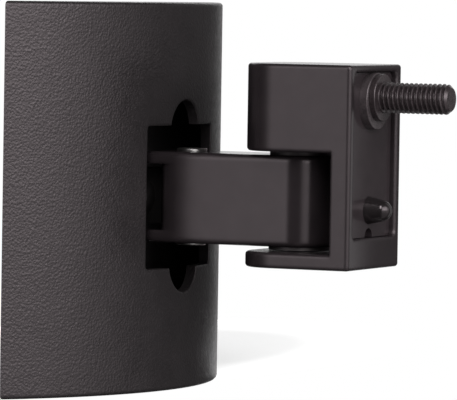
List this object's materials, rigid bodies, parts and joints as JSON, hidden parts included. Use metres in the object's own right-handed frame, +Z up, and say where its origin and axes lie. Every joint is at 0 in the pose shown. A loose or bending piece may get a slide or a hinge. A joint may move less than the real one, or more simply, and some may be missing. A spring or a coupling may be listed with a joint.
{
  "type": "speaker wall bracket",
  "caption": "Wall bracket for a small loudspeaker: bowed grained cover, short jointed arm and a swivel head with a captive threaded screw and a locating pin.",
  "frame": {"origin": "middle of the wall face, on the wall plane and level with the arm", "axes": "+Y into the wall, +X across to the right as seen from the room, +Z up"},
  "size_m": [0.0908, 0.0742, 0.077],
  "materials": {
    "cover_plastic": "fine leather-like grain",
    "plate_steel": "matt black",
    "black_casting": "satin black",
    "insert_black": "glossy black",
    "peg_black": "glossy black",
    "dark_fastener": "black oxide",
    "dark_thread": "black oxide",
    "bright_pin": "plain steel",
    "friction_washer": "plain"
  },
  "bodies": {
    "wall_base": {"wall_plate": "plate_steel", "front_cover": "cover_plastic", "tilt_bolt": "dark_fastener", "tilt_nut": "dark_fastener", "tilt_spring_washer": "dark_fastener"},
    "tilt_knuckle": {"knuckle": "black_casting", "tilt_washer_left": "friction_washer", "tilt_washer_right": "friction_washer"},
    "swing_arm": {"arm": "black_casting", "arm_pin": "bright_pin", "arm_washer_upper": "friction_washer", "arm_washer_lower": "friction_washer", "head_bush_upper": "friction_washer", "head_bush_lower": "friction_washer"},
    "swivel_head": {"head_block": "black_casting", "front_insert": "insert_black", "locating_pin": "peg_black", "head_pivot": "dark_fastener", "stud_collar": "dark_fastener"},
    "captive_screw": {"mounting_screw": "dark_thread", "screw_ring": "dark_fastener"}
  },
  "joints": [
    {"name": "tilt", "type": "hinge", "parent": "wall_base", "child": "tilt_knuckle", "pos_m": [0, -0.0074, 0], "axis": [-1, 0, 0], "range_deg": [-15, 15]},
    {"name": "arm_pan", "type": "hinge", "parent": "tilt_knuckle", "child": "swing_arm", "pos_m": [0, -0.0183, 0], "axis": [0, 0, 1], "range_deg": [-30, 30]},
    {"name": "head_pan", "type": "hinge", "parent": "swing_arm", "child": "swivel_head", "pos_m": [0, -0.0423, 0], "axis": [0, 0, 1], "range_deg": [-75, 75]},
    {"name": "screw_spin", "type": "hinge", "parent": "swivel_head", "child": "captive_screw", "pos_m": [0, -0.067, 0.02065], "axis": [0, -1, 0], "continuous": true}
  ]
}
